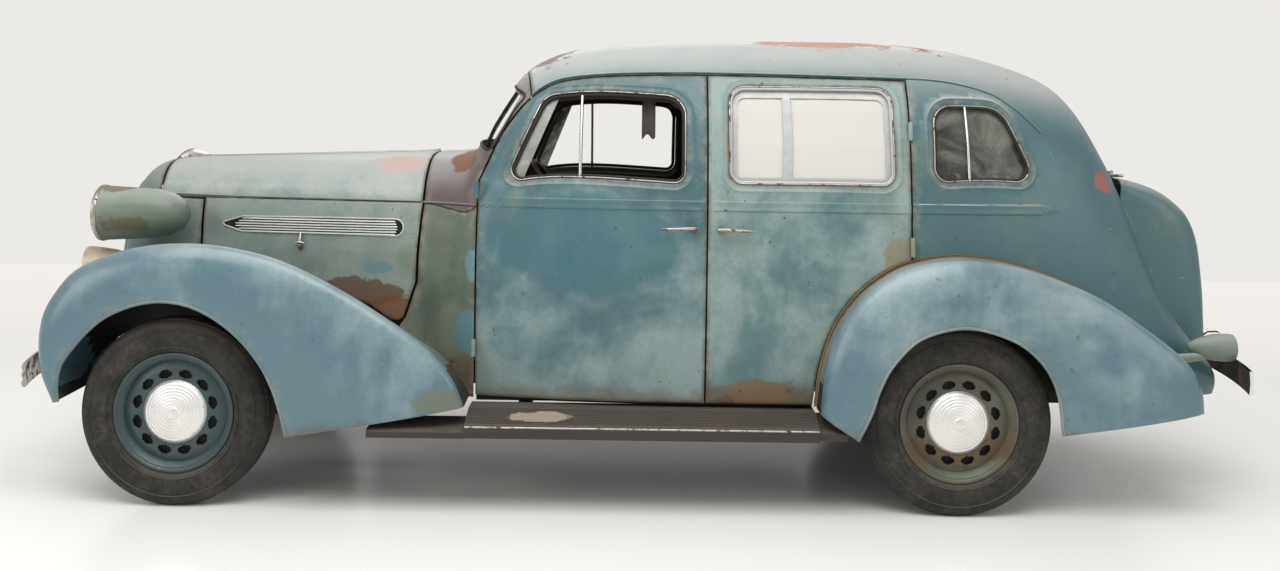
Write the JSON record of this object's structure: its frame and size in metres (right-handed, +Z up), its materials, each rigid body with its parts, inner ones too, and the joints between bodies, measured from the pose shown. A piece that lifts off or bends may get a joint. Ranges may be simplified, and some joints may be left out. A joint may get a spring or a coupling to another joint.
{
  "type": "weathered four-door touring sedan",
  "caption": "Weathered 1930s touring sedan with separate fenders, running boards, torpedo lamps, opening doors, split hood, trunk lid, steering and turning wheels.",
  "frame": {"origin": "on the ground, midway along the bumpers and across the car", "axes": "+X to the rear, +Y to the right side, +Z up"},
  "size_m": [4.8798, 1.7534, 1.8282],
  "materials": {
    "body_paint": "faded, chalky",
    "fender_paint": "worn satin",
    "roof_paint": "chalky with rust",
    "chassis_black": "rusty black",
    "bare_rust": "rusted",
    "bright_trim": "worn chrome",
    "glass": "dusty",
    "lamp_glass": "stained",
    "tyre": "dusty",
    "wheel_paint": "dusty",
    "cloth": "worn cloth",
    "card": "matte board",
    "dash_paint": "worn",
    "wheel_rim_plastic": "worn",
    "board_rubber": "dusty ribbed rubber"
  },
  "bodies": {
    "body": {"chassis_frame": "chassis_black", "body_floor": "chassis_black", "cowl": "body_paint", "roof": "roof_paint", "quarter_panels": "body_paint", "tail_panel": "body_paint", "trunk_housing": "body_paint", "wheel_houses": "chassis_black", "grille_shell": "body_paint", "grille": "bright_trim", "hood_strip": "bright_trim", "radiator": "chassis_black", "engine": "chassis_black", "front_fenders": "fender_paint", "rear_fenders": "fender_paint", "running_boards": "board_rubber", "lamps": "body_paint", "lamp_lenses": "lamp_glass", "front_bumper": "bright_trim", "rear_bumper": "bare_rust", "tail_lamps": "body_paint", "windshield_glass": "glass", "body_glass": "glass", "dashboard": "dash_paint", "front_seat": "cloth", "rear_seat": "cloth", "steering_column": "chassis_black", "front_axle": "chassis_black", "rear_axle": "chassis_black", "driveshaft": "chassis_black", "exhaust": "bare_rust", "fuel_tank": "chassis_black"},
    "front_door_left": {"front_door_left": "body_paint", "front_door_left_glass": "glass"},
    "front_door_right": {"front_door_right": "body_paint", "front_door_right_glass": "glass"},
    "rear_door_left": {"rear_door_left": "body_paint", "rear_door_left_card": "card"},
    "rear_door_right": {"rear_door_right": "body_paint", "rear_door_right_glass": "glass"},
    "hood_left": {"hood_left": "body_paint"},
    "hood_right": {"hood_right": "body_paint"},
    "trunk_lid": {"trunk_lid": "body_paint"},
    "steering_wheel": {"steering_wheel": "wheel_rim_plastic"},
    "knuckle_left": {"knuckle_left": "chassis_black"},
    "knuckle_right": {"knuckle_right": "chassis_black"},
    "tie_rod": {"tie_rod": "chassis_black"},
    "wheel_front_left": {"wheel_front_left": "wheel_paint", "tyre_front_left": "tyre"},
    "wheel_front_right": {"wheel_front_right": "wheel_paint", "tyre_front_right": "tyre"},
    "wheel_rear_left": {"wheel_rear_left": "wheel_paint", "tyre_rear_left": "tyre"},
    "wheel_rear_right": {"wheel_rear_right": "wheel_paint", "tyre_rear_right": "tyre"}
  },
  "joints": [
    {"name": "steer_left", "type": "hinge", "parent": "body", "child": "knuckle_left", "pos_m": [-1.75, -0.64, 0.35], "axis": [0, 0, 1], "range_deg": [-30, 30]},
    {"name": "steer_right", "type": "hinge", "parent": "body", "child": "knuckle_right", "pos_m": [-1.75, 0.64, 0.35], "axis": [0, 0, 1], "range_deg": [-30, 30]},
    {"name": "tie_rod_eye", "type": "hinge", "parent": "knuckle_left", "child": "tie_rod", "pos_m": [-1.58, -0.606, 0.272], "axis": [0, 0, 1], "range_deg": [-32, 32]},
    {"name": "steering_wheel_turn", "type": "hinge", "parent": "body", "child": "steering_wheel", "pos_m": [-0.348, -0.348, 1.128], "axis": [0.798, 0, 0.6027], "range_deg": [-540, 540]},
    {"name": "spin_front_left", "type": "hinge", "parent": "knuckle_left", "child": "wheel_front_left", "pos_m": [-1.75, -0.725, 0.35], "axis": [0, 1, 0], "continuous": true},
    {"name": "spin_front_right", "type": "hinge", "parent": "knuckle_right", "child": "wheel_front_right", "pos_m": [-1.75, 0.725, 0.35], "axis": [0, 1, 0], "continuous": true},
    {"name": "spin_rear_left", "type": "hinge", "parent": "body", "child": "wheel_rear_left", "pos_m": [1.212, -0.725, 0.35], "axis": [0, 1, 0], "continuous": true},
    {"name": "spin_rear_right", "type": "hinge", "parent": "body", "child": "wheel_rear_right", "pos_m": [1.212, 0.725, 0.35], "axis": [0, 1, 0], "continuous": true},
    {"name": "front_door_left_hinge", "type": "hinge", "parent": "body", "child": "front_door_left", "pos_m": [-0.643, -0.65845, 0.587], "axis": [0, -0.0563, -0.9984], "range_deg": [0, 68]},
    {"name": "front_door_right_hinge", "type": "hinge", "parent": "body", "child": "front_door_right", "pos_m": [-0.643, 0.65845, 0.587], "axis": [0, -0.0563, 0.9984], "range_deg": [0, 68]},
    {"name": "rear_door_left_hinge", "type": "hinge", "parent": "body", "child": "rear_door_left", "pos_m": [1.041, -0.73079, 1.007], "axis": [0, 0.1618, 0.9868], "range_deg": [0, 68]},
    {"name": "rear_door_right_hinge", "type": "hinge", "parent": "body", "child": "rear_door_right", "pos_m": [1.041, 0.73079, 1.007], "axis": [0, 0.1618, -0.9868], "range_deg": [0, 68]},
    {"name": "hood_left_hinge", "type": "hinge", "parent": "body", "child": "hood_left", "pos_m": [-2.011, -0.03, 1.296], "axis": [-0.9995, 0, -0.0318], "range_deg": [0, 50]},
    {"name": "hood_right_hinge", "type": "hinge", "parent": "body", "child": "hood_right", "pos_m": [-2.011, 0.03, 1.296], "axis": [0.9995, 0, 0.0318], "range_deg": [0, 50]},
    {"name": "trunk_lid_hinge", "type": "hinge", "parent": "body", "child": "trunk_lid", "pos_m": [1.98, 0, 1.292], "axis": [0, -1, 0], "range_deg": [0, 70]}
  ],
  "couplings": [
    {"joint": "steer_right", "follows": "steer_left", "ratio": 1},
    {"joint": "tie_rod_eye", "follows": "steer_left", "ratio": -1.054},
    {"joint": "steering_wheel_turn", "follows": "steer_left", "ratio": 18}
  ]
}
